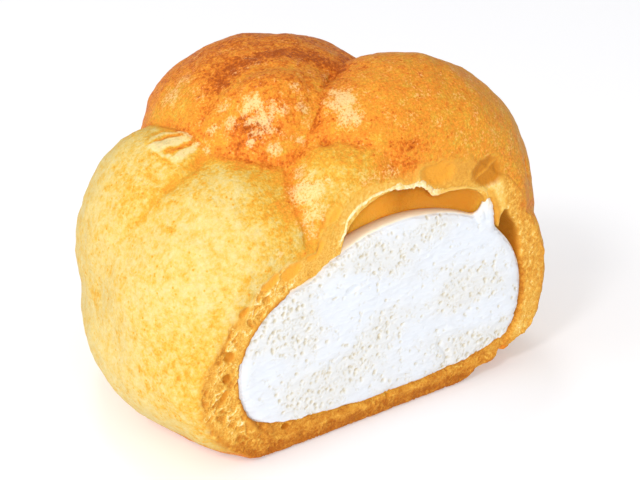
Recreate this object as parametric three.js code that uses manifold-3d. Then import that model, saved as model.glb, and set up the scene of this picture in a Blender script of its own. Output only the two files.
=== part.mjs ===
// Cream puff: a choux bun with its front sliced away, filled with whipped cream.
//
// Millimetres. +X runs to the right along the cut, +Y from the cut into the bun,
// +Z up. The bun rests on z = 0. Shapes are placed from the bun's upright axis,
// and the last lines move the origin to the middle of the cut piece's base.

import * as THREE from "three";
import { mergeVertices } from "three/addons/utils/BufferGeometryUtils.js";
import Module from "manifold-3d";

const wasm = await Module();
wasm.setup();

// ---- Driving dimensions ----

const HEART = [0, 0, 22]; // a point inside that sees the whole crust
const CUT = -21; // y of the slice, in front of the axis
const CREASE_SOFTNESS = 0.7; // how far neighbouring lobes melt together
const BASE_ROUNDING = 1.4; // soft edge between the sides and the flat base
const LIFT_FROM = 25; // x where the right underside leaves the table
const LIFT_SLOPE = 0.34; // rise of that underside for each mm to the right
const LIFT_ROUNDING = 0.8;
const CRAG_HEIGHT = 0.3; // unevenness of the baked surface
const CRAG_SPAN = 3.6; // the crags' length, as mm for each radian

// Lobes that the dough puffed into, as ellipsoids turned about their upright axis.
const LOBES = {
  body: { at: [-0.5, -0.5, 16], radii: [42.7, 44, 24.5], turn: 0 },
  front: { at: [-16, -2, 23.5], radii: [26.5, 24.5, 28.5], turn: 6 },
  left: { at: [-22, 9.5, 28], radii: [18.7, 22, 25], turn: 2 },
  small: { at: [0.5, -12, 37], radii: [18.5, 15, 17.5], turn: 9 },
  right: { at: [14.5, -4, 30], radii: [31.6, 23, 32.4], turn: 0 },
  side: { at: [33, -9, 18.5], radii: [11, 18, 20], turn: -2 },
  shoulder: { at: [-2.5, 6.5, 46.5], radii: [20, 16, 17], turn: 29 },
  crown: { at: [-6, 2, 51], radii: [11.5, 10, 12.5], turn: 0 },
  back: { at: [0.2, 12.5, 45], radii: [24.3, 24, 18.5], turn: 0 },
  rearLeft: { at: [-13, 22, 25], radii: [18, 20, 21], turn: 0 },
  rearRight: { at: [18, 20, 25], radii: [21, 21, 23], turn: 0 },
};

// The cream lies in a bed: a mound just behind the slice, and a lower, deeper pool.
const CREAM_HEART = [3, -8, 12];
const CREAM_FLOOR = 4.2; // thickness of the bottom crust under the cream
const CREAM_FLOOR_ROUNDING = 5; // the cream's corners above the bottom crust
const CREAM_SOFTNESS = 1.2;
const CREAM_GAP = 0.3; // clearance between the cream and its bed
const CREAM_LOBES = {
  mound: { at: [6.5, -19, 16.5], radii: [29, 11, 22.5], turn: 0 },
  leftFlank: { at: [-12.5, -18, 17], radii: [17.5, 10, 16], turn: 0 },
  pool: { at: [3, -3, 14], radii: [32, 31, 16], turn: 0 },
};

// Hollows that baking left. The web of crumb between the pocket and the side gap
// and the tooth in the roof's edge are what stays between these ellipsoids.
const HOLLOWS = {
  pocket: { at: [5, -21, 37], radii: [12.2, 14, 8.7], detail: 7 },
  pocketRight: { at: [16.5, -21, 35], radii: [8.6, 13, 7.5], detail: 6 },
  gapHigh: { at: [29.6, -20, 30.5], radii: [1.4, 7, 6], detail: 5 },
  gapLow: { at: [31.6, -20, 24], radii: [2.6, 7, 8], detail: 5 },
  roofBubble: { at: [15.2, -21.4, 46.6], radii: [4.2, 2.8, 1.5], detail: 4 },
  rightBubble: { at: [25.6, -21.2, 43.4], radii: [2.8, 2.6, 1.9], detail: 4 },
  wallBubble: { at: [-31.6, -21.3, 23.5], radii: [1.9, 1.6, 1.9], detail: 3 },
  wallPit: { at: [-32.2, -21, 19], radii: [1.2, 1.5, 1.2], detail: 3 },
};

// Subdivisions of the icosahedron under each round shape. The cream and its bed
// share theirs, so that their facets lie side by side with an even gap.
const CRUST_DETAIL = 16;
const FILLING_DETAIL = 10;

const CRUST_COLOUR = "#e0a24c";
const CREAM_COLOUR = "#f8f7f2";

// ---- Soft joins ----

function softMax(values, softness) {
  const most = Math.max(...values);
  const total = values.reduce((sum, value) => sum + Math.exp((value - most) / softness), 0);
  return most + softness * Math.log(total);
}

function softMin(value, limit, softness) {
  const share = THREE.MathUtils.clamp(0.5 + (value - limit) / (2 * softness), 0, 1);
  return THREE.MathUtils.lerp(value, limit, share) - softness * share * (1 - share);
}

// ---- Rays from a heart point, which set how far out a surface lies ----

const UP = new THREE.Vector3(0, 0, 1);
const DOWN = new THREE.Vector3(0, 0, -1);

function reachOfLobe(ray, heart, lobe) {
  const turn = -THREE.MathUtils.degToRad(lobe.turn);
  const size = new THREE.Vector3(...lobe.radii);
  const start = heart.clone().sub(new THREE.Vector3(...lobe.at)).applyAxisAngle(UP, turn).divide(size);
  const step = ray.clone().applyAxisAngle(UP, turn).divide(size);
  const along = start.dot(step);
  const spread = step.lengthSq();
  const inside = along * along - spread * (start.lengthSq() - 1);
  return inside > 0 ? Math.max((Math.sqrt(inside) - along) / spread, 0) : 0;
}

function reachOfLobes(ray, heart, lobes, softness) {
  return softMax(Object.values(lobes).map((lobe) => reachOfLobe(ray, heart, lobe)), softness);
}

// Stops a ray softly at the plane through a point, where the ray heads for it.
function stoppedByPlane(reach, ray, heart, normal, point, rounding) {
  const facing = ray.dot(normal);
  if (facing < 0.001) {
    return reach;
  }
  const plane = point.clone().sub(heart).dot(normal) / facing;
  return softMin(reach, plane, rounding / facing);
}

// ---- Surfaces ----

function crags(point) {
  const x = point.x / CRAG_SPAN;
  const y = point.y / CRAG_SPAN;
  const z = point.z / CRAG_SPAN;
  const broad = Math.sin(x + 1.3 * Math.sin(0.7 * y)) * Math.sin(0.9 * y + Math.sin(z));
  const fine = Math.sin(1.9 * x + z) * Math.sin(2.1 * z - y);
  return CRAG_HEIGHT * (broad + 0.5 * fine);
}

function crustReach(ray, heart) {
  const smooth = reachOfLobes(ray, heart, LOBES, CREASE_SOFTNESS);
  const rough = smooth + crags(heart.clone().addScaledVector(ray, smooth));
  const liftNormal = new THREE.Vector3(LIFT_SLOPE, 0, -1).normalize();
  const liftPoint = new THREE.Vector3(LIFT_FROM, 0, 0);
  const lifted = stoppedByPlane(rough, ray, heart, liftNormal, liftPoint, LIFT_ROUNDING);
  return stoppedByPlane(lifted, ray, heart, DOWN, new THREE.Vector3(), BASE_ROUNDING);
}

function creamReach(ray, heart, gap) {
  const smooth = reachOfLobes(ray, heart, CREAM_LOBES, CREAM_SOFTNESS) + gap;
  const floorPoint = new THREE.Vector3(0, 0, CREAM_FLOOR - gap);
  return stoppedByPlane(smooth, ray, heart, DOWN, floorPoint, CREAM_FLOOR_ROUNDING);
}

// ---- Solids ----

function toSolid(geometry) {
  const bare = geometry.clone();
  bare.deleteAttribute("normal");
  bare.deleteAttribute("uv");
  const merged = mergeVertices(bare, 1e-4);
  return new wasm.Manifold(
    new wasm.Mesh({
      numProp: 3,
      vertProperties: new Float32Array(merged.attributes.position.array),
      triVerts: new Uint32Array(merged.index.array),
    })
  );
}

// A round body whose surface lies where reach() says, seen from its heart.
function blob(heartPoint, detail, reach, floor) {
  const heart = new THREE.Vector3(...heartPoint);
  const geometry = new THREE.IcosahedronGeometry(1, detail);
  const positions = geometry.attributes.position;
  for (let i = 0; i < positions.count; i += 1) {
    const ray = new THREE.Vector3().fromBufferAttribute(positions, i).normalize();
    const point = heart.clone().addScaledVector(ray, reach(ray, heart));
    const resting = point.z < floor + 0.02;
    positions.setXYZ(i, point.x, point.y, resting ? floor : point.z);
  }
  return toSolid(geometry);
}

function ellipsoid({ at, radii, detail }) {
  const geometry = new THREE.IcosahedronGeometry(1, detail);
  geometry.scale(...radii);
  geometry.translate(...at);
  return toSolid(geometry);
}

// Everything in front of the slice.
function slicedAway() {
  const size = 200;
  const geometry = new THREE.BoxGeometry(size, size, size);
  geometry.translate(0, CUT - size / 2, 0);
  return toSolid(geometry);
}

function toMesh(name, solid, material) {
  const { vertProperties, triVerts } = solid.getMesh();
  const geometry = new THREE.BufferGeometry();
  geometry.setAttribute("position", new THREE.BufferAttribute(vertProperties, 3));
  geometry.setIndex(new THREE.BufferAttribute(triVerts, 1));
  geometry.computeVertexNormals();
  const mesh = new THREE.Mesh(geometry, material);
  mesh.name = name;
  return mesh;
}

// ---- The two pieces ----

function creamBody(gap) {
  const reach = (ray, heart) => creamReach(ray, heart, gap);
  return blob(CREAM_HEART, FILLING_DETAIL, reach, CREAM_FLOOR - gap);
}

function makeShell() {
  let shell = blob(HEART, CRUST_DETAIL, crustReach, 0);
  for (const hollow of Object.values(HOLLOWS)) {
    shell = shell.subtract(ellipsoid(hollow));
  }
  shell = shell.subtract(creamBody(CREAM_GAP)).subtract(slicedAway());
  const material = new THREE.MeshStandardMaterial({ color: CRUST_COLOUR, roughness: 0.6, metalness: 0 });
  return toMesh("choux_shell", shell, material);
}

function makeCream() {
  const cream = creamBody(0).subtract(slicedAway());
  const material = new THREE.MeshStandardMaterial({ color: CREAM_COLOUR, roughness: 0.5, metalness: 0 });
  return toMesh("whipped_cream", cream, material);
}

const group = new THREE.Group();
group.add(makeShell(), makeCream());

// The origin goes under the middle of the piece.
const middle = new THREE.Box3().setFromObject(group).getCenter(new THREE.Vector3());
group.position.set(-middle.x, -middle.y, 0);

export default group;
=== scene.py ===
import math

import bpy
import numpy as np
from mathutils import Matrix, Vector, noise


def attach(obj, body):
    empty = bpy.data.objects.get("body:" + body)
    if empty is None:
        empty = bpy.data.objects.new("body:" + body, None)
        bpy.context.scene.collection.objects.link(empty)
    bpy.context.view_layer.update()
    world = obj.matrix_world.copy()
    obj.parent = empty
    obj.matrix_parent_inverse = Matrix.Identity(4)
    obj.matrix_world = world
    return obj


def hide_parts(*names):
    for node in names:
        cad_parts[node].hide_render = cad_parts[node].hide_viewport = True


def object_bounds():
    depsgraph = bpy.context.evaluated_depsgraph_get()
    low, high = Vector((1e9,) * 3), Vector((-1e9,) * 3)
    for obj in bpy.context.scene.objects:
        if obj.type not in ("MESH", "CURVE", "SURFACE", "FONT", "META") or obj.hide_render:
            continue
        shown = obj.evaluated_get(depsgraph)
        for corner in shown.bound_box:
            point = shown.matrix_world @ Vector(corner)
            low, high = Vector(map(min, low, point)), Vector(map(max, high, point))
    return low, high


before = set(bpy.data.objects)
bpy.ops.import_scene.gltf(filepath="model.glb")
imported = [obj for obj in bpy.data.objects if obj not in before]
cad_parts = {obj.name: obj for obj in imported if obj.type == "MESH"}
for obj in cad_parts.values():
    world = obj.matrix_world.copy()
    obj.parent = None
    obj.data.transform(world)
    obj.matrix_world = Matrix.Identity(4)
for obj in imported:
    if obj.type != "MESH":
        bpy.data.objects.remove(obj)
cad_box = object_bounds()

# Cream puff: a choux bun with its front sliced away, filled with whipped cream.
#
# The crust is blown up from overlapping lobes, kneaded into one skin, pressed on the
# tray, sliced and hollowed, and then worked over by moving its points. The cream is
# made the same way, and a thin ribbon adds the torn lip of the roof. Places are in
# millimetres from the bun's upright axis: +X to the right along the cut, +Y from the
# cut into the bun, +Z up from the table.

MM = 0.001
AXIS = Vector((-1.518, -11.227, 0.0))  # where that axis stands, from the middle of the cut piece
CUT = -21.0  # y of the slice
THROUGH = 9  # half-depth of a place that takes in the whole slice
DOWN, FORWARD = (0, 0, -1), (0, -1, 0)

# ---- The crust's shape ----

HEART = (0, 0, 22)  # a point inside that sees the whole crust
DOUGH_GRAIN = 0.8  # of the kneading that melts the lobes together
HOLLOW_GRAIN = 0.6
CRUST_MESH = 0.85  # grain of the sliced and hollowed crust
TRAY_ROUNDING = 1.4  # soft edge between the sides and the flat base
SLICE_ROUNDING = 0.8  # soft edge between the skin and the slice
ROOF_ROUNDING = 3.0  # how much softer that edge is over the pocket
LIFT_FROM = 25  # x where the right underside leaves the table
LIFT_SLOPE = 0.34  # its rise for each mm to the right
LIFT_ROUNDING = 0.8
CRAG_HEIGHT = 0.3  # unevenness of the baked surface
CRAG_SPAN = 3.6  # the crags' length, as mm for each radian
FAR = 30  # distance past which a lobe no longer counts
BAKE_MELTS = 1.2  # how far one lobe's browning runs into the next
BOX_CLEARANCE = 0.02  # how far the crust stays inside the CAD model's box

# Lobes that the dough puffed into: middle, half-sizes, turn in degrees, and how far it browned.
LOBES = {
    "body": ((-0.5, -0.5, 16), (42.7, 44, 24.5), 0, 0.14),
    "front": ((-16, -2, 23.5), (26.5, 24.5, 28.5), 6, 0.2),
    "left": ((-22, 9.5, 28), (18.7, 22, 25), 2, 0.2),
    "small": ((0.5, -12, 37), (18.5, 15, 17.5), 9, 0.3),
    "right": ((14.5, -4, 30), (31.6, 23, 32.4), 0, 0.53),
    "side": ((33, -9, 18.5), (11, 18, 20), -2, 0.48),
    "shoulder": ((-2.5, 6.5, 46.5), (20, 16, 17), 29, 0.6),
    "crown": ((-6, 2, 51), (11.5, 10, 12.5), 0, 0.6),
    "back": ((0.2, 12.5, 45), (24.3, 24, 18.5), 0, 0.74),
    "rear_left": ((-13, 22, 25), (18, 20, 21), 0, 0.4),
    "rear_right": ((18, 20, 25), (21, 21, 23), 0, 0.55),
}

# Hollows that baking left in the dough: middle, half-sizes, turn.
HOLLOWS = {
    "pocket": ((5, -21, 37), (12.2, 14, 8.7), 0),
    "pocket_middle": ((11.5, -21, 36), (9, 12.6, 6.8), 0),
    "pocket_right": ((16.5, -21, 35), (8.6, 13, 7.5), 0),
    "pocket_corner": ((21.3, -21, 37.0), (4.0, 9, 3.6), 0),
    "gap_high": ((30.1, -20, 30.2), (1.3, 7, 5.6), 0),
    "gap_low": ((31.6, -20, 24), (2.6, 7, 8), 0),
    "gap_tail": ((33.6, -20, 18), (1.3, 6, 6), 0),
}

# Bubbles that the slice opened: middle, half-sizes (the second is the depth), turn in the cut's
# plane in degrees, and darkness, which is painted shade in the bubble's lining.
BUBBLES = {
    "roof": ((14.2, CUT, 46.5), (4.6, 0.7, 2.9), -12, 0.5),
    "right": ((26.0, CUT, 43.3), (4.6, 0.6, 3.4), -12, 0.85),
    "wall_ring": ((-31.5, CUT, 23.5), (1.2, 0.8, 1.2), 0, 0.75),
    "wall_pit": ((-32.1, CUT, 19.2), (1.0, 1.2, 1.2), 0, 0.85),
    "wall_slot": ((-32.8, CUT, 15.8), (0.8, 0.8, 1.6), -30, 0.7),
    "base_hole": ((-19.6, CUT, 4.8), (1.0, 1.2, 0.8), 0, 1.0),
    "base_pinhole": ((3.5, CUT, 3.4), (0.6, 0.8, 0.5), 0, 0.8),
    "flat_low": ((-22.9, CUT, 35.7), (2.5, 0.35, 1.5), 28, 0.42),
    "flat_middle": ((-18.3, CUT, 36.4), (2.6, 0.35, 1.6), 30, 0.4),
    "flat_high": ((-13.2, CUT, 38.9), (2.7, 0.35, 1.4), 35, 0.36),
    "flat_top": ((-9.4, CUT, 44.6), (2.4, 0.3, 1.5), 24, 0.34),
    "left_low": ((-28.4, CUT, 31.6), (1.5, 0.5, 1.0), 40, 0.6),
}
RIGHT_MIDDLE, RIGHT_SIZE = (27, -20, 43), (7, 4, 5.5)  # the place round the right bubble
RIB = [(28.2, 0, 44.7), (23.4, 0, 42.7)]  # a thin wall that stands in that bubble

# The ragged lower edge of the cut at the right, where the crust has chipped, as x and z.
CHIPS = [
    (21.4, 0), (22.5, 0.7), (25.1, 2.4), (27.8, 2.4),
    (32.0, 3.2), (33.9, 5.6), (35.9, 5.7), (41, 6.6),
]

# The roof's torn lower edge at the cut, as x and z.
LIP = [
    (-7.9, 38.6), (-6.8, 40.6), (-6.2, 42.6), (-4.7, 44.2), (-3.4, 45.0), (-2.1, 45.4),
    (-0.8, 46.0), (1.5, 46.3), (4.1, 46.2), (6.8, 45.7), (9.8, 45.1), (10.9, 44.6),
    (12.1, 43.3), (12.6, 42.5), (13.9, 42.1), (16.7, 42.2), (20.7, 41.6), (24.0, 40.3),
    (25.2, 39.5), (25.7, 38.5),
]

THICK_FROM, TOOTH = 8, 13  # where in that list the lip gets thick, and its tooth
LIP_STEPS, LIP_ROWS = 280, 6  # faces along and across the ribbon
LIP_LOOK = 0.6  # how far ahead and behind its direction is taken
LIP_THICKNESS = 0.3

# Places on the skin.
CROWN = (-6, 2, 51)
CRESCENT = [  # a dark band round the crown
    (-13.5, 9, 59.8), (-11.4, 9.5, 61.1), (-8.2, 9.7, 62.5),
    (-2.3, 9.3, 63.9), (5.5, 5.2, 62.4), (7, 2, 61.4),
]
FOLD_MIDDLE, FOLD_SIZE = (-24.4, 7, 52), (6.5, 7, 5)
FOLD = [  # its wrinkles, seen from above: path, width, and how high and pale (or low and dark) they are; the paleness is a painted highlight, the darkness a painted shade
    ([(-27.4, 8.2, 0), (-24.9, 6.9, 0), (-22.4, 5.9, 0)], 1.8, 1.0),
    ([(-26.9, 2.9, 0), (-24.2, 3.3, 0), (-21.4, 3.3, 0)], 1.2, 0.9),
    ([(-27.9, 10.8, 0), (-24.4, 10.2, 0), (-21.8, 7.2, 0)], 0.8, 0.6),
    ([(-28.0, 9.6, 0), (-27.7, 6.4, 0), (-27.0, 3.4, 0)], 0.7, 0.5),
    ([(-27.0, 5.5, 0), (-24.8, 5.0, 0), (-22.6, 4.6, 0)], 0.7, -0.6),
    ([(-26.6, 9.5, 0), (-24.4, 8.7, 0), (-22.4, 7.4, 0)], 0.5, -0.4),
    ([(-28.7, 8.4, 0), (-28.5, 5.4, 0), (-27.6, 2.2, 0)], 0.6, -0.4),
]
TAUT = [  # blistered thin, pale and shiny, painted paler as a painted highlight: middle, size, share
    ((-12.9, -4.2, 57.5), 4.0, 0.95),
    ((-13.3, -1.0, 59.9), 3.4, 0.95),
    ((-10.5, -4.2, 59.6), 2.6, 0.75),
    ((-8.8, -5.2, 59.2), 2.0, 0.65),
    ((-5.0, -6.0, 58.8), 2.4, 0.7),
    ((-5.0, -3.2, 61.7), 2.0, 0.6),
    ((-17.2, 0.2, 56.8), 2.2, 0.9),
    ((-19.1, 2.3, 55.4), 1.6, 1.0),
    ((-16.3, 3.2, 58.6), 2.2, 0.6),
    ((-15.8, -4.7, 54.4), 1.5, 0.9),
    ((-12.4, -7.5, 53.4), 2.1, 0.8),
    ((-7.7, -8.5, 54.2), 1.5, 0.8),
    ((-21.6, 1.1, 52.0), 1.5, 0.8),
    ((1.6, -7.7, 59.3), 4.8, 1.0),
    ((1.0, -11.6, 57.3), 3.8, 0.9),
    ((-11.7, -17.2, 49.0), 5.2, 1.1),
    ((-13.2, -15.1, 48.6), 3.2, 0.9),
    ((-11.0, -13.1, 50.7), 2.8, 0.7),
    ((-12.4, -19.6, 45.8), 4.0, 0.8),
    ((-14.0, -20.4, 43.4), 3.6, 0.9),
    ((-6.0, -20.3, 46.8), 4.0, 0.6),
    ((-1.0, -20.3, 48.6), 4.0, 0.6),
    ((3.8, -20.3, 48.8), 3.2, 0.5),
    ((-18.3, 17.1, 56.0), 4.2, 0.6),
    ((-15.2, 18.2, 58.2), 3.0, 0.5),
    ((-20.6, -20.6, 40.3), 1.3, 1.0),
]
SPOTS = [  # toasted a little more, or less: middle, size, share
    ((-34.1, -6.3, 43.4), 1.6, 0.2),
    ((-28.5, -6.5, 48.3), 1.2, 0.2),
    ((-27.6, -9.2, 48.0), 0.9, 0.15),
    ((-40.8, 9.2, 25.5), 3.4, 0.14),
    ((-42.4, -2.1, 26.0), 1.2, 0.18),
    ((-33.5, -19.1, 31.5), 1.4, 0.12),
    ((-20.5, -13.5, 45.5), 6.0, 0.12),
    ((-19.7, 15.3, 55.0), 9.0, -0.25),
    ((-33.0, 7.0, 47.0), 8.0, 0.08),
    ((1.3, -9.0, 58.5), 6.5, -0.08),
    ((-3.0, -20.3, 48.5), 8.0, 0.04),
    ((-14.0, -20.3, 43.2), 5.0, -0.16),
    ((-39.5, -17.5, 19.0), 16.0, 0.12),
    ((-15.5, -4.0, 55.2), 5.5, 0.24),
    ((-8.0, -1.0, 62.0), 7.0, 0.1),
    ((-1.0, -5.0, 59.5), 5.0, -0.09),
    ((-3.5, -11.5, 55.0), 4.5, -0.08),
    ((-15.8, -17.5, 45.8), 3.5, 0.14),
    ((8.5, -19.8, 51.0), 6.5, 0.1),
    ((-11.8, -18.5, 47.5), 5.0, -0.08),
    ((-15.0, -20.5, 43.0), 4.0, -0.12),
]

# ---- The cream's shape ----

CREAM_HEART = (3, -8, 12)  # a point inside that sees the whole cream
CREAM_GRAIN = 0.5  # of the kneading that melts its lobes together
CREAM_MESH = 0.7  # grain of the sliced cream
CREAM_FLOOR = 3.9  # thickness of the bottom crust under the cream
CREAM_FLOOR_ROUNDING = 5
BED_GRIP = 0.12  # how much tighter the bed is than the cream, so that no gap shows
CRACK_WIDTH = 0.9  # of the crack between them at the upper left

# The cream's body, and the smear that climbs the crust at the right: middle, half-sizes, turn.
CREAM_LOBES = {
    "mound": ((6.5, -19, 16.5), (29, 11, 22.5), 0),
    "left_flank": ((-12.5, -18, 17), (17.5, 10, 16), 0),
    "pool": ((3, -3, 14), (32, 31, 16), 0),
    "smear": ((26.6, -20.6, 33.4), (1.8, 2.2, 4.0), 0),
    "smear_foot": ((25.6, -20.5, 31.6), (2.8, 2.5, 3.2), 0),
    "smear_top": ((26.1, -20.8, 36.0), (1.2, 1.8, 3.3), 0),
    "smear_left": ((25.0, -20.6, 33.2), (1.8, 2.2, 3.0), 0),
    "right_flank": ((26.0, -19.6, 30.2), (2.4, 4, 3.2), 0),
}


# ---- Selecting, and applying a modifier ----


def place(point):
    """A place in the bun's millimetres, in metres from the middle of the cut piece."""
    return (Vector(point) + AXIS) * MM


def only(*pieces):
    """Selects these pieces and nothing else."""
    bpy.ops.object.select_all(action="DESELECT")
    for piece in pieces:
        piece.select_set(True)
    bpy.context.view_layer.objects.active = pieces[-1]


def finish_with(piece, kind, **settings):
    """Gives a piece a modifier and applies it."""
    only(piece)
    modifier = piece.modifiers.new(kind.title(), kind)
    for name, value in settings.items():
        setattr(modifier, name, value)
    bpy.ops.object.modifier_apply(modifier=modifier.name)


def knead(piece, grain):
    """Melts all that overlaps into one closed skin, in steps of the grain."""
    finish_with(piece, "REMESH", mode="VOXEL", voxel_size=grain * MM, use_smooth_shade=True)


def soften(piece, rounds, share=None):
    """Smooths a piece, all over or by each point's share."""
    before = points_of(piece)
    finish_with(piece, "SMOOTH", factor=0.5, iterations=rounds)
    if share is not None:
        move_points(piece, before + (points_of(piece) - before) * share[:, None])


def blow(name, lobes):
    """Blows up one ball for each lobe and joins them. They overlap until they are kneaded."""
    balls = []
    for at, radii, turn, *_ in lobes.values():
        bpy.ops.mesh.primitive_ico_sphere_add(
            subdivisions=6,
            radius=1,
            location=place(at),
            rotation=(0, 0, math.radians(turn)),
            scale=Vector(radii) * MM,
        )
        balls.append(bpy.context.object)
    only(*balls)
    bpy.ops.object.join()
    piece = bpy.context.object
    bpy.ops.object.transform_apply()
    piece.name = piece.data.name = name
    return piece


def slice_front(piece):
    """Cuts off all that is in front of the slice, and closes the cut."""
    only(piece)
    bpy.ops.object.mode_set(mode="EDIT")
    bpy.ops.mesh.select_all(action="SELECT")
    bpy.ops.mesh.bisect(
        plane_co=place((0, CUT, 0)), plane_no=FORWARD, use_fill=True, clear_outer=True
    )
    bpy.ops.object.mode_set(mode="OBJECT")


def carve(piece, cutter):
    """Takes the cutter's shape out of a piece, and the cutter away."""
    finish_with(piece, "BOOLEAN", operation="DIFFERENCE", solver="MANIFOLD", object=cutter)
    bpy.data.objects.remove(cutter)


def subdivide_where(piece, chosen):
    """Cuts each chosen face in four."""
    mesh = piece.data
    mesh.vertices.foreach_set("select", np.zeros(len(mesh.vertices), bool))
    mesh.edges.foreach_set("select", np.zeros(len(mesh.edges), bool))
    mesh.polygons.foreach_set("select", chosen)
    only(piece)
    bpy.context.tool_settings.mesh_select_mode = (False, False, True)
    bpy.ops.object.mode_set(mode="EDIT")
    bpy.ops.mesh.subdivide(number_cuts=1)
    bpy.ops.object.mode_set(mode="OBJECT")


# ---- Reading, moving and painting a piece's points ----


def read(items, key):
    flat = np.empty(len(items) * 3, np.float32)
    items.foreach_get(key, flat)
    return flat.reshape(-1, 3).astype(float)


def points_of(piece):
    """Where a piece's points are, in the bun's millimetres."""
    return read(piece.data.vertices, "co") / MM - np.array(AXIS)


def normals_of(piece):
    return read(piece.data.vertex_normals, "vector")


def faces_of(piece):
    """The middle of each of a piece's faces, and the way that it faces."""
    faces = piece.data.polygons
    return read(faces, "center") / MM - np.array(AXIS), read(faces, "normal")


def move_points(piece, points):
    flat = ((points + np.array(AXIS)) * MM).astype(np.float32).ravel()
    piece.data.vertices.foreach_set("co", flat)
    piece.data.update()


def paint(piece, **layers):
    """Stores each layer's values, from 0 to 1, for the piece's finish to read."""
    for name, values in layers.items():
        layer = piece.data.attributes.new(name, "FLOAT", "POINT")
        layer.data.foreach_set("value", np.clip(values, 0, 1).astype(np.float32))


# ---- Soft shapes and noise ----


def ramp(low, high, values):
    """0 up to low and 1 from high on, with a soft rise between them. Low may be the larger."""
    share = np.clip((values - low) / (high - low), 0, 1)
    return share * share * (3 - 2 * share)


def spot(points, at, radii, turn=0):
    """1 in the middle of a place with these half-sizes, 0 from its edge outwards.

    A ball has one half-size. A turn, in degrees, is in the cut's plane.
    """
    x, y, z = (points - np.array(at, float)).T
    angle = math.radians(turn)
    along = x * math.cos(angle) + z * math.sin(angle)
    across = z * math.cos(angle) - x * math.sin(angle)
    away = np.column_stack([along, y, across]) / np.array(radii, float)
    return np.clip(1 - np.linalg.norm(away, axis=1), 0, 1)


def streak(points, path, width):
    """1 on a line through the path's points, 0 from its width outwards."""
    nearest = np.full(len(points), 1e9)
    for start, end in zip(path, path[1:]):
        start, end = np.array(start, float), np.array(end, float)
        share = np.clip((points - start) @ (end - start) / ((end - start) @ (end - start)), 0, 1)
        gap = np.linalg.norm(points - start - share[:, None] * (end - start), axis=1)
        nearest = np.minimum(nearest, gap)
    return np.clip(1 - nearest / width, 0, 1)


def lumps(points, span, seed):
    """Soft noise from about -1 to 1, with lumps about span millimetres apart.

    Each seed starts at its own place in the noise, whose own swing is about 0.6.
    """
    shift = Vector((seed * 7.31, seed * 3.77, seed * 5.13))
    return np.array([noise.noise(Vector(p) / span + shift) for p in points]) * 1.6


def bubbles(points, span, seed):
    """How far each point is from a bubble's middle, and from the wall to its neighbour."""
    shift = Vector((seed * 4.17, seed * 6.91, seed * 2.39))
    near = [noise.voronoi(Vector(p) / span + shift)[0] for p in points]
    near = np.array([(d[0], d[1] - d[0]) for d in near])
    return near[:, 0], near[:, 1]


def stretched(points, along, up):
    """The points, closer in x or z, so that what is laid out on them gets longer that way."""
    return points * np.array([along, 1, up])


def curled(points, amount, span, seed):
    """The points, carried aside by soft noise, so that what is laid out on them curls."""
    aside = [lumps(points, span, seed + i) for i in range(3)]
    return points + amount * np.column_stack(aside)


def lobe_distances(points, lobes):
    """Each point's distance to each lobe's skin, negative inside, and the way that skin faces."""
    distances = []
    facings = []
    for at, radii, turn, *_ in lobes.values():
        turned = np.array(Matrix.Rotation(math.radians(turn), 3, "Z"))
        local = (points - np.array(at)) @ turned
        size = np.array(radii, float)
        level = np.linalg.norm(local / size, axis=1)
        slope = local / size**2
        steep = np.linalg.norm(slope, axis=1)
        distances.append(level * (level - 1) / steep)
        facings.append((slope / steep[:, None]) @ turned.T)
    return np.array(distances), np.array(facings)


def soft_min(values, limits, softness):
    share = np.clip(0.5 + (values - limits) / (2 * softness), 0, 1)
    return values + (limits - values) * share - softness * share * (1 - share)


def press(points, heart, normal, at, rounding):
    """Pushes points back towards the heart, where they pass a flat surface."""
    away = points - np.array(heart, float)
    reach = np.linalg.norm(away, axis=1)
    rays = away / reach[:, None]
    facing = rays @ np.array(normal)
    stop = (np.array(at, float) - heart) @ np.array(normal)
    heading = facing > 0.001
    facing = np.where(heading, facing, 1)
    pressed = soft_min(reach, stop / facing, rounding / facing)
    return np.array(heart) + rays * np.where(heading, pressed, reach)[:, None]


def in_the_slice(middles, facings, depth):
    """Which faces lie in the slice, up to this depth, and look out of it."""
    return (middles[:, 1] < CUT + depth) & (facings[:, 1] < -0.4)


# ---- Whipped cream ----

cream = blow("whipped_cream_filling", CREAM_LOBES)
knead(cream, CREAM_GRAIN)
soften(cream, 8)
move_points(
    cream,
    press(points_of(cream), CREAM_HEART, DOWN, (0, 0, CREAM_FLOOR), CREAM_FLOOR_ROUNDING),
)

# Its bed in the dough is a copy that fits closely, with a crack at the upper left.
only(cream)
bpy.ops.object.duplicate()
bed = bpy.context.object
points = points_of(bed)
crack = ramp(0, 0.5, spot(points, (-13, CUT, 36), (10, THROUGH, 6), 35))
move_points(bed, points + normals_of(bed) * (CRACK_WIDTH * crack - BED_GRIP)[:, None])

# It is sliced, gets a finer mesh in the slice, and is made flat there again.
slice_front(cream)
knead(cream, CREAM_MESH)
for _ in range(2):
    subdivide_where(cream, in_the_slice(*faces_of(cream), 0.5))
soften(cream, 8, ramp(CUT + 1.5, CUT + 0.8, points_of(cream)[:, 1]))
points = points_of(cream)
x, y, z = points.T
face = ramp(CUT + 1.2, CUT + 0.3, y)
points[:, 1] = np.where(y < CUT + 0.12, CUT, y)

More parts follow.
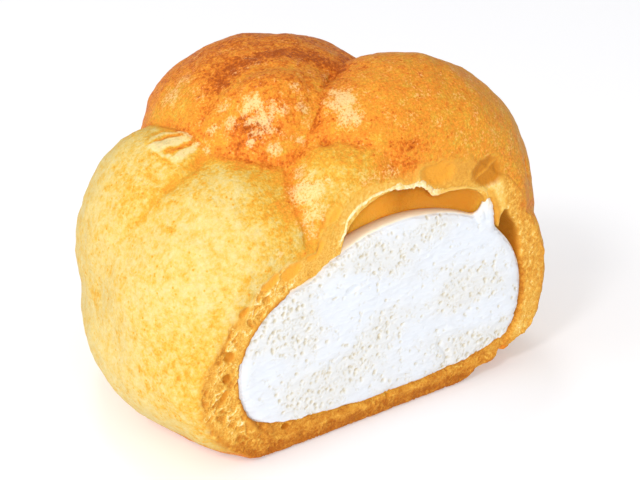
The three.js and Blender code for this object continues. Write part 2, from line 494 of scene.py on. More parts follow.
# What the knife leaves: belts of pits and pinholes, smears, waves, a gouge and a dimple.
front = points * np.array([1, 0, 1])
belts = ramp(-0.6, 0.5, lumps(stretched(front, 0.6, 1), 8, 3))
middle, _ = bubbles(front, 1.0, 1)
pits = ramp(0.55, 0.1, middle) * ramp(0.0, 0.6, lumps(front, 1.3, 9) + 0.8 * belts - 0.35)
middle, _ = bubbles(front, 0.45, 2)
pinholes = ramp(0.5, 0.1, middle) * ramp(0.0, 0.7, lumps(front, 2.0, 4) + 0.8 * belts - 0.3)
smears = lumps(stretched(front, 0.45, 1.3), 2.4, 5)
smears += 0.6 * lumps(stretched(front, 0.5, 1.4), 0.8, 6)
waves = lumps(front, 7, 7)
gouge = streak(front, [(15.4, 0, 10.3), (17.0, 0, 7.6), (18.0, 0, 4.4)], 1.1)
dimple = ramp(0, 0.6, spot(points, (-5.0, CUT, 28.6), (1.7, THROUGH, 0.9), 8))
sunk = 0.3 * pits + 0.18 * pinholes + 0.1 * (1 + smears) + 0.14 * (1 + waves)
sunk += 0.3 * gouge + 0.4 * dimple

# The slice rounds off towards the cream's edge.
distances, _ = lobe_distances(points, CREAM_LOBES)
in_cream = np.minimum(-distances.min(axis=0), z - CREAM_FLOOR)
sunk += 0.4 * ramp(2.0, -0.1, in_cream) ** 2
points[:, 1] += face * np.clip(sunk, 0, None)
move_points(cream, points)
# The pit layer holds painted shade in the pits and their belts; the stain layer holds a painted
# warm light on the cream behind the slice, and a stain on the smear's top.
paint(
    cream,
    pit=face * np.clip(0.7 * pits + 0.4 * pinholes + 0.2 * belts, 0, 1),
    stained=np.maximum(0.75 * (1 - face), 0.7 * face * ramp(34, 38, z) * ramp(22, 25, x)),
)

# ---- Choux crust ----


def skin_of(points):
    """Depth under the bun's skin, the crease between lobes, and how far each place browned."""
    distances, facings = lobe_distances(points, LOBES)
    order = np.argsort(distances, axis=0)
    nearest = np.take_along_axis(facings, order[:2, :, None], axis=0)
    same_way = np.clip((nearest[0] * nearest[1]).sum(axis=1), -1, 1)
    second = np.take_along_axis(distances, order[1:2], axis=0)[0]
    from_crease = np.clip(second, 0, FAR) / np.sqrt(1 - same_way**2 + 0.01)
    depth = ramp(0.03, 0.3, 1 - same_way)
    weights = np.exp(-np.clip(distances, 0, FAR) / BAKE_MELTS)
    browned = np.array([lobe[3] for lobe in LOBES.values()])
    bake = (weights * browned[:, None]).sum(axis=0) / weights.sum(axis=0)
    return -distances.min(axis=0), from_crease, depth, bake


def crags(points):
    """The unevenness of the baked surface, less of it near the tray."""
    x, y, z = (points / CRAG_SPAN).T
    broad = np.sin(x + 1.3 * np.sin(0.7 * y)) * np.sin(0.9 * y + np.sin(z))
    fine = np.sin(1.9 * x + z) * np.sin(2.1 * z - y)
    return CRAG_HEIGHT * (broad + 0.5 * fine) * ramp(0.3, 2.5, points[:, 2])


def roof_of(points):
    """1 in the roof over the pocket, 0 in the walls and the base."""
    return ramp(36, 44, points[:, 2]) * ramp(-22, -8, points[:, 0])


# The dough: its lobes melt together, most at the upper left, and it is pressed flat on the
# tray, under the lifted right side, and at the slice.
bun = blow("choux_bun", LOBES)
knead(bun, DOUGH_GRAIN)
soften(bun, 5)
x, _, z = points_of(bun).T
soften(bun, 60, ramp(46, 36, z) * ramp(-4, -16, x))
points = points_of(bun)
roof = roof_of(points)
lift = Vector((LIFT_SLOPE, 0, -1)).normalized()
points = press(points, HEART, lift, (LIFT_FROM, 0, 0), LIFT_ROUNDING)
points = press(points, HEART, DOWN, (0, 0, 0), TRAY_ROUNDING)
away = points - np.array(HEART)
rays = away / np.linalg.norm(away, axis=1)[:, None]
points = points + rays * crags(points)[:, None]
slice_rounding = SLICE_ROUNDING + ROOF_ROUNDING * roof
points = press(points, HEART, FORWARD, (0, CUT, 0), slice_rounding)

# Chips knock off the slice's lower edge at the right.
x, y, z = points.T
chipped = np.interp(x, *zip(*CHIPS)) * ramp(CUT + 7, CUT + 3, y) * (x > CHIPS[0][0])
points[:, 2] = np.where(z < chipped, chipped + 0.1 * (z - chipped), z)
move_points(bun, points)

carve(bun, bed)
hollow = blow("hollow", HOLLOWS)
knead(hollow, HOLLOW_GRAIN)
soften(hollow, 10)
carve(bun, hollow)
knead(bun, CRUST_MESH)

# A finer mesh where small shapes come: in the slice, the creases, the crown, the fold and
# round the bubble at the right.
middles, facings = faces_of(bun)
under_skin, from_crease, depth, _ = skin_of(middles)
fine = in_the_slice(middles, facings, 0.8)
fine |= (from_crease < 1.6) & (depth > 0.2) & (under_skin < 1) & (middles[:, 2] > 38)
fine |= spot(middles, CROWN, (13, 13, 12)) > 0
fine |= spot(middles, FOLD_MIDDLE, FOLD_SIZE) > 0
fine |= spot(middles, RIGHT_MIDDLE, RIGHT_SIZE) > 0
subdivide_where(bun, fine)
middles, facings = faces_of(bun)
fine = in_the_slice(middles, facings, 0.8)
fine |= spot(middles, FOLD_MIDDLE, FOLD_SIZE) > 0
fine |= (spot(middles, RIGHT_MIDDLE, RIGHT_SIZE) > 0) & (middles[:, 1] < CUT + 3)
subdivide_where(bun, fine)
soften(bun, 6, ramp(CUT + 0.9, CUT + 0.5, points_of(bun)[:, 1]))

# Where the skin ends and the cut begins, and where lobes meet.
points = points_of(bun)
x, y, z = points.T
facings = normals_of(bun)
under_skin, from_crease, depth, bake = skin_of(points)
roof = roof_of(points)
rim = 0.6 + 1.6 * roof + 1.2 * ramp(0, 0.5, spot(points, (-23, CUT, 38), (13, THROUGH, 11)))
rim += 0.3 * lumps(points, 2.5, 26)
on_cut = ramp(CUT + 1.6, CUT + 0.5, y) * ramp(rim - 0.4, rim + 0.4, under_skin)
outside = ramp(1.3, 0.6, under_skin) * (1 - on_cut)
shown = np.clip(ramp(36, 44, z) + ramp(-8, -2, x), 0, 1) * depth
# Where lobes meet, the skin is painted darker, partly browning and partly painted shade: narrowly
# in the crease and more broadly beside it. The fissure is a groove in the shape.
crease, fissure, beside_crease = (
    np.exp(-((from_crease / width) ** 2)) * shown for width in (1.2, 0.6, 6.0)
)

# The skin: dimples, pimples and creases.
rise = 0.13 * lumps(points, 3.2, 11) + 0.07 * lumps(points, 1.5, 12) - 0.8 * fissure

# A wrinkled fold on top of the left lobe.
fold = ramp(0, 0.5, spot(points, FOLD_MIDDLE, FOLD_SIZE))
wrinkles = np.zeros(len(points))
wavering = curled(points, 0.25, 1.5, 15) * np.array([1, 1, 0])
for path, width, share in FOLD:
    wrinkles += share * ramp(0, 0.7, streak(wavering, path, width))
wrinkles = fold * np.clip(wrinkles, -1, 1)
rise += 0.22 * fold + 0.2 * wrinkles

# Wrinkles round the crown, a dent and a notch.
aside, back, _ = (points - np.array(CROWN)).T
round_crown = np.hypot(aside, back)
crown = ramp(15, 10, round_crown) * ramp(50, 54, z)
rings = np.column_stack([round_crown, 3.5 * np.arctan2(back, aside), 0 * aside])
rise += crown * (0.1 * lumps(rings, 1.1, 16) + 0.1 * lumps(points, 1.3, 17))
dent = ramp(0, 1, spot(points, (-4.5, -11.6, 54.6), (2.2, 2.2, 1.8)))
notch = ramp(0, 1, spot(points, (38.4, -17.2, 39.3), (1.5, 2.0, 3.0)))
rise -= dent + notch
points = points + facings * (rise * outside)[:, None]

# The slice is made flat again, and its bubbles sink in. The one at the right has a rib.
x, y, z = points.T
front = points * np.array([1, 0, 1])
flat = ramp(0.1, 0.8, on_cut) * ramp(CUT + 1.2, CUT + 0.4, y)
points[:, 1] += flat * (CUT - y)
opened = np.zeros(len(points))
sunk = np.zeros(len(points))
# Painted shade in the linings: darker to the right of the pocket and in the side gap, and in each
# bubble as much as its darkness says.
tint = 0.06 + 0.3 * ramp(6, 20, x) + 0.5 * ramp(26, 29, x)
uneven = 0.05 * lumps(front, 1.1, 52)
seen = np.maximum(on_cut, ramp(CUT + 3.5, CUT + 2.5, y) * ramp(18, 20, x))
for at, radii, turn, dark in BUBBLES.values():
    share = spot(points, at, (radii[0], THROUGH, radii[2]), turn)
    share = np.clip(share + uneven * (share > 0), 0, 1)
    sunk = np.maximum(sunk, radii[1] * ramp(0, 0.5, share) * seen)
    tint = np.where(share > 0, dark, tint)
    opened = np.maximum(opened, ramp(0, 0.35, share) * seen)
rib = ramp(0, 1, streak(front, RIB, 0.55)) * opened
sunk -= 0.14 * rib

# The kinds of crumb: coarse in the left wall, fibrous in the base and the right wall, and
# smooth in the roof and in the web between the pocket and the side gap.
distances, _ = lobe_distances(points, CREAM_LOBES)
from_cream = np.maximum(distances.min(axis=0), CREAM_FLOOR - z)
left_band = ramp(-15, -20, x) * ramp(3, 7, z)
base_band = ramp(7.5, 4.5, z)
wall_band = ramp(28, 30.5, x) * ramp(5, 9, z)
web = ramp(0, 0.4, spot(points, (27.5, CUT, 36.5), (3.5, THROUGH, 7.5)))
smooth_crumb = np.clip(0.9 * roof * (1 - wall_band) + web, 0, 1)
high_band = left_band * ramp(24, 31, z)
patchy = ramp(-0.3, 0.2, lumps(front, 2.2, 46))
strip = ramp(2.4, 1.4, under_skin) + ramp(1.6, 0.7, from_cream)
strip = left_band * patchy * np.clip(strip, 0, 1)
rough = (1 - opened) * (1 - smooth_crumb) * (1 - 0.75 * strip) * on_cut

# Its cells, the skins between them, and its fibres.
curls = curled(front, 0.45, 1.3, 51)
_, wall = bubbles(stretched(curls, 1, 0.85), 2.1, 21)
large = ramp(0.04, 0.3, wall) * ramp(-0.1, 0.3, lumps(front, 3.4, 22) + 0.1)
skins = ramp(0.14, 0.0, wall) * ramp(-0.3, 0.4, lumps(front, 2.0, 27))
_, wall = bubbles(curls, 0.9, 23)
small = ramp(0.06, 0.34, wall) * ramp(-0.1, 0.5, lumps(front, 2.2, 24) + 0.1)
small_skins = 0.8 * ramp(0.18, 0.0, wall) * ramp(-0.2, 0.4, lumps(front, 1.6, 30))
skins = np.maximum(skins, small_skins)
flat_fibres = lumps(stretched(curls, 0.4, 1.5), 0.9, 28)
upright_fibres = lumps(stretched(curls, 1.4, 0.6), 0.55, 29)
fibres = base_band * flat_fibres + np.maximum(wall_band, 0.3 * left_band) * upright_fibres
cell = rough * np.clip(large * left_band + small * (0.5 - 0.35 * wall_band), 0, 1)
pale = skins * (0.85 * left_band + 0.6 * base_band + 0.3 * wall_band)
pale = rough * np.clip(pale, 0, 1)
sunk += rough * (0.34 * large * left_band + 0.16 * small + 0.06 * (1 + fibres))
sunk += on_cut * (0.06 * (1 + lumps(front, 2.4, 25)) + 0.2 * roof)
sunk += 0.5 * rough * ramp(0.9, 0.0, from_cream) ** 2
sunk = np.clip(sunk - 0.1 * pale, 0, None)
points[:, 1] += sunk

# No point leaves the CAD model's box. The slice and the base may lie in its faces.
low = np.array(cad_box[0]) / MM - np.array(AXIS) + BOX_CLEARANCE * np.array([1, 0, 1])
high = np.array(cad_box[1]) / MM - np.array(AXIS) - BOX_CLEARANCE
low[2] = 0
points = np.clip(points, low, high)
x, y, z = points.T
move_points(bun, points)

# Pale places in the cut: the torn lip, skins, fibres of the right wall, and the band's edge.
at_lip = ramp(0, 0.9, streak(points, [(x, CUT, z) for x, z in LIP], 3.0)) * on_cut
pale = np.maximum(pale, 0.5 * at_lip * ramp(-0.2, 0.6, lumps(front, 0.6, 35)))
flap = spot(points, (-20.8, CUT, 40.1), (1.5, THROUGH, 0.9), -60)
pale = np.maximum(pale, ramp(0, 0.6, flap))
wall_fibres = wall_band * rough * ramp(0.0, 0.9, upright_fibres) * ramp(10, 28, z)
pale = np.maximum(pale, 0.4 * wall_fibres)
pale *= 1 - 0.8 * web
edge = np.exp(-(((under_skin - rim) / 0.3) ** 2)) * ramp(CUT + 1, CUT + 0.5, y)
pale = np.maximum(pale, 0.6 * edge * high_band * ramp(-0.4, 0.3, lumps(front, 1.5, 47)))

# How dark the skin is: browned by the oven on top, at the tray, along the slice, on the
# crown's crescent, over the roof and in single spots; darker in and beside creases, partly
# browning and partly painted shade; darker in the dent, the notch and over the fold, with a
# painted highlight on the fold's ridges and painted shade in its grooves; and darker towards
# the bottom of the front-left side.
# Darker beside creases: partly browning, partly painted shade.
bake += 0.26 * beside_crease * (1 - bake) * (1 + 0.5 * lumps(points, 2.5, 36))
bake += 0.08 * ramp(48, 62, z) * ramp(-20, -8, x)
bake += 0.45 * ramp(5.5, 0, z) * ramp(28, 20, x)
bake += 0.05 * ramp(CUT + 4, CUT + 0.8, y) * ramp(-8, -14, x) * (1 - on_cut)
toasted = ramp(0.0, 0.5, lumps(points, 1.0, 31) + 0.4 * lumps(points, 3.2, 34))
bake += streak(points, CRESCENT, 3.0) * (0.28 + 0.75 * toasted)
patch = ramp(0, 0.8, spot(points, (8.5, -20.1, 52.3), (4.5, 4, 3.4)))
bake += patch * (0.08 + 0.3 * ramp(-0.1, 0.5, lumps(points, 1.3, 32)))
bake += 0.3 * dent + 0.35 * notch
# The fold's ridges are painted paler, a painted highlight, and its grooves darker, a painted
# shade.
bake += 0.12 * fold - 0.4 * wrinkles
bake += 0.12 * crown * lumps(points, 4, 33)
frayed = 0.12 * lumps(points, 1.2, 37)
for at, size, share in SPOTS:
    bake += share * ramp(0, 0.7, spot(points, at, size) + frayed)
# Darker towards the bottom of the front-left side.
bake += 0.15 * ramp(32, 14, z) * ramp(-8, -16, x) * ramp(-40, -30, x)

# Where it blistered thin, pale and shiny, painted paler as painted highlights: in patches where
# highlights fall, in random clusters on the browned skin away from creases, and on the fold's
# wrinkles.
ragged = 0.3 * lumps(points, 1.3, 38)
taut = 0.36 * ramp(0.0, 0.7, lumps(points, 2.0, 39))
taut *= ramp(0.36, 0.5, bake) * (1 - 0.8 * beside_crease)
for at, size, share in TAUT:
    near = spot(points, at, size)
    taut = np.maximum(taut, share * ramp(0, 0.85, near + ragged * ramp(0, 0.3, near)))
taut = np.maximum(taut, 1.1 * ramp(0.1, 0.8, wrinkles))

# Where bare crumb shows, and how dark it is.
hollowed = ramp(1.5, 3.2, under_skin) * ramp(CUT + 0.4, CUT + 1.6, y - sunk)
thin_roof = roof * ramp(6, -3, x) * (1 - at_lip)
crumb = np.clip(on_cut * (1 - 0.6 * thin_roof) + hollowed + opened, 0, 1)
flesh = 0.42 + 0.22 * base_band + 0.1 * wall_band - 0.08 * roof - 0.26 * web
flesh += 0.04 * strip + 0.06 * left_band
flesh += 0.16 * roof * ramp(8, 14, x) * (1 - web)
# Painted shadow: the crumb of the upper-left band is darker along the cream.
flesh += 0.35 * high_band * ramp(1.8, 0.3, from_cream)
flesh -= 0.12 * high_band + 0.12 * ramp(24, 30, x) * ramp(18, 8, z)
flesh += 0.08 * base_band + 0.4 * ramp(3.6, 0.6, z) - 0.18 * fibres
# Painted shadow: the crumb is darker next to the cream, except in the base and the roof.
flesh += 0.35 * ramp(1.1, 0.2, from_cream) * (1 - base_band) * (1 - roof)
flesh += 0.08 * ramp(2, 0.8, under_skin)
# Some of these layers carry painted light: shade in the creases and in the linings of hollows and
# bubbles, and highlights where the skin blistered.
paint(
    bun,
    bake=bake,
    crease=crease * (1 - bake) * (1 - crumb),
    crumb=crumb,
    cell=cell,
    pale=pale,
    taut=taut * (1 - crumb),
    opened=opened - 0.2 * rib,
    hollow=hollowed,
    tint=tint - 0.2 * rib,
    flesh=flesh,
    fibrous=rough,
)

# ---- The roof's torn lip: a thin pale ribbon along the pocket's upper edge ----

bpy.ops.object.select_all(action="DESELECT")
bpy.ops.mesh.primitive_grid_add(x_subdivisions=LIP_STEPS, y_subdivisions=LIP_ROWS, size=2)
lip = bpy.context.object
lip.name = lip.data.name = "torn_lip"

# The grid's places as shares: u from the ribbon's left end to its right, v up across it.
grid = (points_of(lip) + np.array(AXIS)) * MM
u, v = (grid[:, 0] + 1) / 2, (grid[:, 1] + 1) / 2

# Where each point comes along the lip, in millimetres, and the way across the lip there.
path = np.array(LIP)
steps = np.linalg.norm(np.diff(path, axis=0), axis=1)
along = np.concatenate([[0], np.cumsum(steps)])
s = u * along[-1]


def on_path(distance):
    """The lip's x and z at a distance from its left end."""
    return [np.interp(distance, along, values) for values in path.T]


path_x, path_z = on_path(s)
(next_x, next_z), (last_x, last_z) = on_path(s + LIP_LOOK), on_path(s - LIP_LOOK)
ahead_x, ahead_z = next_x - last_x, next_z - last_z
size = np.hypot(ahead_x, ahead_z)
across_x, across_z = -ahead_z / size, ahead_x / size

# How far it stands up and hangs down, with frills and jags, more of both at the tooth.
spine = np.column_stack([s, s * 0, s * 0])
jags = np.clip(0.5 + 0.5 * lumps(spine, 0.9, 41) + 0.4 * lumps(spine, 0.35, 42), 0, 1.2)
frills = 0.75 + 0.35 * lumps(spine, 2.2, 43) + 0.3 * lumps(spine, 0.35, 45)
frills = np.clip(frills, 0.2, 1.4)
thick_from, tooth = along[THICK_FROM], along[TOOTH]
thick = ramp(thick_from - 2, thick_from + 0.5, s) * ramp(tooth + 0.4, tooth - 0.5, s)
thin = ramp(tooth, tooth + 1, s)
ends = ramp(0, 0.02, u) * ramp(1, 0.97, u)
at_tooth = ramp(3.0, 1.2, np.abs(s - tooth - 0.7))
tall = (0.22 + 0.75 * thick + 0.45 * thin + 1.15 * at_tooth) * frills * ends
reach = v * tall - (1 - v) * (0.3 + 0.1 * thick - 0.22 * thin) * jags * ends
flutter = 1 + lumps(spine + np.array((0, 7, 0)), 1.6, 44)
lip_y = CUT + 0.03 + 0.5 * v**2 + 0.12 * flutter * (1 - v)
move_points(lip, np.column_stack([path_x + across_x * reach, lip_y, path_z + across_z * reach]))
finish_with(lip, "SOLIDIFY", thickness=LIP_THICKNESS * MM, offset=0)
points = points_of(lip)
points[:, 1] = np.maximum(points[:, 1], CUT)
move_points(lip, points)
paint(lip, worn=ramp(13.2, 15, points[:, 0]))

# ---- Finishes ----

# How many cells of each pattern go into a metre: 1000 over the real size in millimetres.
# Nothing under about 0.4 mm shows in the render, so finer patterns are drawn coarser.
SKIN_GRAIN = 1600  # 0.6 mm, the mottling of the dried skin
SKIN_BLOTCH = 600  # 1.7 mm, patches that browned more than their neighbours
SKIN_PORE = 1150  # 0.9 mm from pore to pore
SKIN_SPECK = 2100  # drawn at 0.5 mm: the finest real flakes are about 0.2 mm
SKIN_PINHOLE = 2300  # drawn 0.4 mm apart: the real pinholes in the flakes are finer
CRUMB_THREAD = 1500  # 0.7 mm from wall to wall in the finest crumb
CRUMB_BEND = 900  # 1.1 mm, the bends of those walls
TORN_GRAIN = 1200  # 0.8 mm, paler and darker bits along the torn skin
CREAM_AIR = 1500  # drawn at 0.7 mm: the real air bubbles are under 0.1 mm


def colour(code):
    """A colour written as sRGB hex, as the shader's linear values."""
    shares = [int(code[i : i + 2], 16) / 255 for i in (1, 3, 5)]
    return [s / 12.92 if s <= 0.04045 else ((s + 0.055) / 1.055) ** 2.4 for s in shares] + [1]


def add(material, kind, inputs=None, stops=None, **settings):
    """Adds one node with its settings, its inputs' values or links, and its ramp's stops."""
    made = material.node_tree.nodes.new("ShaderNode" + kind)
    for name, value in settings.items():
        setattr(made, name, value)
    for socket, value in (inputs or {}).items():
        if isinstance(value, bpy.types.NodeSocket):
            material.node_tree.links.new(value, made.inputs[socket])
        else:
            made.inputs[socket].default_value = value
    if stops:
        elements = made.color_ramp.elements
        while len(elements) < len(stops):
            elements.new(0.5)
        for element, (position, code) in zip(elements, stops):
            element.position = position
            element.color = colour(code)
    return made


def finish(name):
    """A new material, with no nodes yet."""
    material = bpy.data.materials.new(name)
    material.use_nodes = True
    material.node_tree.nodes.clear()
    return material


# Baked choux is a dough of flour and egg, dried and browned in the oven. The eye gets a dull
# skin, mottled from straw through gold to a foxy brown, with darker pores, and pale shiny
# flakes where it blistered, which are partly painted highlights. Cut open, it is a moist yellow
# crumb with paler walls.
choux = finish("baked_choux_crust")
where = add(choux, "TexCoord").outputs["Object"]
layers = (
    "bake", "crease", "taut", "crumb", "flesh", "fibrous",
    "cell", "pale", "opened", "hollow", "tint",
)
painted = {
    name: add(choux, "Attribute", attribute_name=name).outputs["Fac"] for name in layers
}
grain = add(
    choux, "TexNoise", {"Vector": where, "Scale": SKIN_GRAIN, "Detail": 4, "Roughness": 0.65}
).outputs["Fac"]
blotch = add(
    choux, "TexNoise", {"Vector": where, "Scale": SKIN_BLOTCH, "Detail": 3, "Roughness": 0.6}
).outputs["Fac"]

# Some of the pores are dark dots.
pore = add(choux, "TexVoronoi", {"Vector": where, "Scale": SKIN_PORE}).outputs
dot = add(
    choux,
    "MapRange",
    {"Value": pore["Distance"], "From Min": 0.12, "From Max": 0.34, "To Min": 1.0, "To Max": 0.0},
).outputs[0]
picked = add(
    choux, "MapRange", {"Value": pore["Color"], "From Min": 0.65, "From Max": 0.8}
).outputs[0]
dots = add(choux, "Math", {0: dot, 1: picked}, operation="MULTIPLY").outputs[0]

# The skin's tone goes from raw, 0, to dark, 1. The mottling is stronger where it browned.
swing = add(
    choux, "Math", {0: painted["bake"], 1: 0.9, 2: 0.3}, operation="MULTIPLY_ADD"
).outputs[0]
mottle = add(choux, "Math", {0: grain, 1: 0.5}, operation="SUBTRACT").outputs[0]
tone = painted["bake"]
# The crease layer darkens the tone, partly browning and partly painted shade.
for pattern, share in ((painted["crease"], 0.45), (mottle, swing), (blotch, 0.65), (dots, 0.26)):
    tone = add(
        choux, "Math", {0: pattern, 1: share, 2: tone}, operation="MULTIPLY_ADD"
    ).outputs[0]
tone = add(choux, "Math", {0: tone, 1: 0.355}, operation="SUBTRACT").outputs[0]
skin = add(
    choux,
    "ValToRGB",
    {"Fac": tone},
    stops=[
        (0.0, "#d3c086"),
        (0.17, "#d3b76c"),
        (0.28, "#d3ab4e"),
        (0.38, "#d39c34"),
        (0.5, "#d5902e"),
        (0.66, "#d9862b"),
        (0.82, "#c96a1c"),
        (1.0, "#a34d13"),
    ],
).outputs["Color"]

# Flakes and painted highlights: pale specks with pinholes, most of them as painted highlights
# where the skin blistered, and as flakes where it browned.
holed = add(choux, "TexVoronoi", {"Vector": where, "Scale": SKIN_PINHOLE}).outputs["Distance"]
holed = add(choux, "MapRange", {"Value": holed, "From Min": 0.12, "From Max": 0.32}).outputs[0]
speck = add(
    choux, "TexNoise", {"Vector": where, "Scale": SKIN_SPECK, "Detail": 2, "Roughness": 0.7}
).outputs["Fac"]
browned = add(
    choux, "MapRange", {"Value": painted["bake"], "From Min": 0.3, "From Max": 0.5}
).outputs[0]
fleck = speck
for pattern, share in ((painted["taut"], 0.38), (browned, 0.08)):
    fleck = add(
        choux, "Math", {0: pattern, 1: share, 2: fleck}, operation="MULTIPLY_ADD"
    ).outputs[0]
fleck = add(choux, "MapRange", {"Value": fleck, "From Min": 0.7, "From Max": 0.92}).outputs[0]
strength = add(
    choux, "Math", {0: painted["taut"], 1: 0.35, 2: 0.4}, operation="MULTIPLY_ADD"
).outputs[0]
for share in (holed, strength):
    fleck = add(choux, "Math", {0: fleck, 1: share}, operation="MULTIPLY").outputs[0]

# The same specks darken and lighten the skin a little, more where it browned.
shade = add(
    choux,
    "MapRange",
    {"Value": speck, "From Min": 0.3, "From Max": 0.7, "To Min": 0.78, "To Max": 1.18},
).outputs[0]
shaded = add(
    choux, "MapRange", {"Value": painted["bake"], "From Min": 0.2, "From Max": 0.5, "To Min": 0.3}
).outputs[0]
skin = add(
    choux,
    "Mix",
    {"Factor": shaded, 6: skin, 7: shade},
    data_type="RGBA",
    blend_type="MULTIPLY",
).outputs[2]
# The pale colour mixed in here is partly a painted highlight and partly pale flakes.
skin = add(
    choux, "Mix", {"Factor": fleck, 6: skin, 7: colour("#e3c88e")}, data_type="RGBA"
).outputs[2]

# The crumb's finest walls are threads that bend.
bend = add(choux, "TexNoise", {"Vector": where, "Scale": CRUMB_BEND, "Detail": 1}).outputs["Color"]
bend = add(choux, "VectorMath", {0: bend, "Scale": 2.2 * MM}, operation="SCALE").outputs[0]
bent = add(choux, "VectorMath", {0: bend, 1: where}, operation="ADD").outputs[0]
threads = add(
    choux, "TexVoronoi", {"Vector": bent, "Scale": CRUMB_THREAD}, feature="DISTANCE_TO_EDGE"
).outputs["Distance"]
threads = add(
    choux,
    "MapRange",
    {"Value": threads, "From Min": 0.0, "From Max": 0.14, "To Min": 1.0, "To Max": 0.0},
).outputs[0]
threads = add(
    choux, "Math", {0: threads, 1: painted["fibrous"]}, operation="MULTIPLY"
).outputs[0]

# The crumb's tone goes from pale walls, 0, to deep cells, 1.
ripe = painted["flesh"]
for pattern, share in (
    (painted["cell"], 0.22),
    (grain, 0.45),
    (threads, -0.2),
    (painted["pale"], -0.4),
):
    ripe = add(
        choux, "Math", {0: pattern, 1: share, 2: ripe}, operation="MULTIPLY_ADD"
    ).outputs[0]
ripe = add(choux, "Math", {0: ripe, 1: 0.2}, operation="SUBTRACT").outputs[0]
flesh = add(
    choux,
    "ValToRGB",
    {"Fac": ripe},
    stops=[
        (0.0, "#efdcac"),
        (0.2, "#e4bb60"),
        (0.42, "#d69d3f"),
        (0.7, "#c27f2b"),
        (1.0, "#a45c19"),
    ],
).outputs["Color"]

# Hollows and bubbles have a smooth lining: a bright gold, painted light for the glow through the
# thin crust, turned towards brown by painted shade in the deep.
lining = add(
    choux,
    "Mix",
    {"Factor": painted["tint"], 6: colour("#ffb946"), 7: colour("#ac6614")},
    data_type="RGBA",
).outputs[2]
inside = add(
    choux, "Math", {0: painted["opened"], 1: painted["hollow"]}, operation="MAXIMUM"
).outputs[0]
flesh = add(
    choux, "Mix", {"Factor": inside, 6: flesh, 7: lining}, data_type="RGBA"
).outputs[2]
colours = add(
    choux, "Mix", {"Factor": painted["crumb"], 6: skin, 7: flesh}, data_type="RGBA"
).outputs[2]
gloss = add(choux, "MapRange", {"Value": fleck, "To Min": 0.48, "To Max": 0.26}).outputs[0]
glow = add(
    choux, "MapRange", {"Value": painted["hollow"], "To Min": 0.15, "To Max": 0.9}
).outputs[0]
bump = add(
    choux, "Bump", {"Strength": 0.8, "Distance": 0.3 * MM, "Height": grain}
).outputs["Normal"]
shader = add(
    choux,
    "BsdfPrincipled",
    {
        "Base Color": colours,
        "Roughness": gloss,
        "IOR": 1.45,
        "Specular IOR Level": 0.08,
        "Subsurface Weight": glow,
        "Subsurface Radius": (1.0, 0.6, 0.3),
        "Subsurface Scale": 4 * MM,
        "Normal": bump,
    },
)
add(choux, "OutputMaterial", {"Surface": shader.outputs[0]})

# Torn choux skin is dried dough, too thin to brown. The eye gets a pale, moist frill that
# lets some light through, and is more golden where it lies against the wall.
torn = finish("torn_choux_skin")
where = add(torn, "TexCoord").outputs["Object"]
grain = add(
    torn, "TexNoise", {"Vector": where, "Scale": TORN_GRAIN, "Detail": 3, "Roughness": 0.7}
).outputs["Fac"]
colours = add(
    torn,
    "ValToRGB",
    {"Fac": grain},
    stops=[(0.3, "#f0dfbc"), (0.5, "#ecce94"), (0.7, "#e4b763")],
).outputs["Color"]
worn = add(torn, "Attribute", attribute_name="worn").outputs["Fac"]
colours = add(
    torn, "Mix", {"Factor": worn, 6: colours, 7: colour("#dfae52")}, data_type="RGBA"
).outputs[2]
shader = add(
    torn,
    "BsdfPrincipled",
    {
        "Base Color": colours,
        "Roughness": 0.45,
        "Subsurface Weight": 0.5,
        "Subsurface Radius": (1.0, 0.7, 0.4),
        "Subsurface Scale": 1 * MM,
    },
)
add(torn, "OutputMaterial", {"Surface": shader.outputs[0]})

# Whipped cream is fat and air, cut by a knife. The eye gets a bright, soft white with a low
# sheen, with painted shade, greyer and yellower, in its pits and their belts; buff where it
# touched the crust on the smear's top, and a painted warm light on its top and sides behind the
# slice.
whipped = finish("whipped_cream")
where = add(whipped, "TexCoord").outputs["Object"]
air = add(whipped, "TexNoise", {"Vector": where, "Scale": CREAM_AIR, "Detail": 2}).outputs["Fac"]
pitted = add(whipped, "Attribute", attribute_name="pit").outputs["Fac"]
colours = add(
    whipped,
    "ValToRGB",
    {"Fac": pitted},
    stops=[(0.0, "#d2d6dc"), (0.35, "#d0cec8"), (1.0, "#bdb091")],
).outputs["Color"]
# Buff: a painted warm light on the cream behind the slice, and a stain on the smear's top where it
# touched the crust.
stained = add(whipped, "Attribute", attribute_name="stained").outputs["Fac"]
colours = add(
    whipped, "Mix", {"Factor": stained, 6: colours, 7: colour("#f1e2c0")}, data_type="RGBA"
).outputs[2]
bump = add(
    whipped, "Bump", {"Strength": 0.2, "Distance": 0.2 * MM, "Height": air}
).outputs["Normal"]
shader = add(
    whipped,
    "BsdfPrincipled",
    {
        "Base Color": colours,
        "Roughness": 0.45,
        "IOR": 1.4,
        "Subsurface Weight": 0.4,
        "Subsurface Radius": (1.0, 0.9, 0.8),
        "Subsurface Scale": 1.5 * MM,
        "Normal": bump,
    },
)
add(whipped, "OutputMaterial", {"Surface": shader.outputs[0]})

for piece, material, slot in (
    (bun, choux, "choux_crust"),
    (cream, whipped, "whipped_cream"),
    (lip, torn, "choux_crust"),
):
    piece.data.materials.clear()
    piece.data.materials.append(material)
    only(piece)
    bpy.ops.object.shade_smooth()
    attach(piece, "root")
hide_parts("choux_shell")
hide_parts("whipped_cream")

# ---- Table, light and camera ----

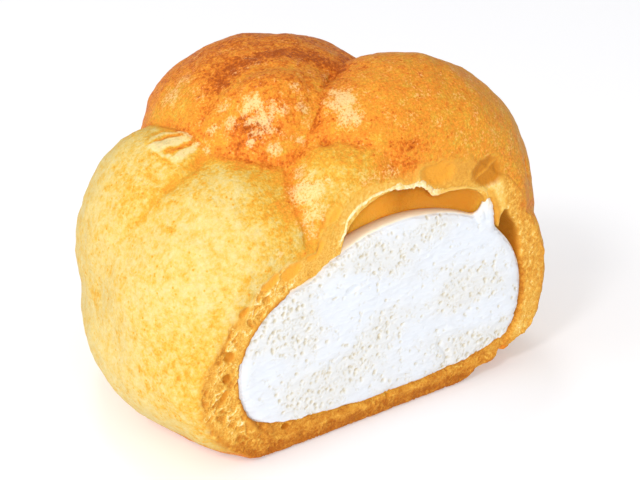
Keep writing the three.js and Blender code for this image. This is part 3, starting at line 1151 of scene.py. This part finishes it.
TARGET = Vector((-0.016, -12.927, 28.55)) * MM  # what the lights and the camera look at
LIGHTS_AWAY = 1.5  # metres
LIGHTS = (  # name, azimuth and elevation in degrees, width in metres, watts
    ("key", -66, 45, 0.3, 4.0),
    ("overhead", 165, 62, 0.4, 3.2),
    ("left", -112, 22, 1.0, 6.3),
    ("fill", -36, 27, 0.12, 17.5),
)
ROOM_LIGHT = 0.49
CAMERA_FROM = (-35.5, 27.5)  # azimuth and elevation in degrees
CAMERA_AWAY = 0.433  # metres
CAMERA_LENS, CAMERA_SENSOR = 130.4, 36

# White paper is matt, so the eye gets an even, pale ground with soft shadows.
paper = finish("white_paper")
shader = add(paper, "BsdfPrincipled", {"Base Color": colour("#f6f6f8"), "Roughness": 0.9})
add(paper, "OutputMaterial", {"Surface": shader.outputs[0]})
bpy.ops.object.select_all(action="DESELECT")
bpy.ops.mesh.primitive_plane_add(size=6, location=(0, 0, 0))
table = bpy.context.object
table.name = "table"
table.data.materials.append(paper)

world = bpy.data.worlds.new("studio")
world.use_nodes = True
background = world.node_tree.nodes["Background"]
background.inputs["Color"].default_value = colour("#ffffff")
background.inputs["Strength"].default_value = ROOM_LIGHT
bpy.context.scene.world = world
bpy.context.scene.view_settings.view_transform = "Standard"


def looking_at_target(azimuth, elevation, away):
    """Where something stands that looks at the bun from these degrees, and its turn."""
    a, e = math.radians(azimuth), math.radians(elevation)
    back = Vector((math.sin(a) * math.cos(e), -math.cos(a) * math.cos(e), math.sin(e)))
    return TARGET + back * away, back.to_track_quat("Z", "Y").to_euler()


for name, azimuth, elevation, size, power in LIGHTS:
    location, turn = looking_at_target(azimuth, elevation, LIGHTS_AWAY)
    bpy.ops.object.light_add(type="AREA", location=location)
    light = bpy.context.object
    light.name = name
    light.rotation_euler = turn
    light.data.shape = "DISK"
    light.data.size = size
    light.data.energy = power

location, turn = looking_at_target(*CAMERA_FROM, CAMERA_AWAY)
bpy.ops.object.camera_add(location=location)
camera = bpy.context.object
camera.rotation_euler = turn
camera.data.sensor_width = CAMERA_SENSOR
camera.data.lens = CAMERA_LENS
bpy.context.scene.camera = camera
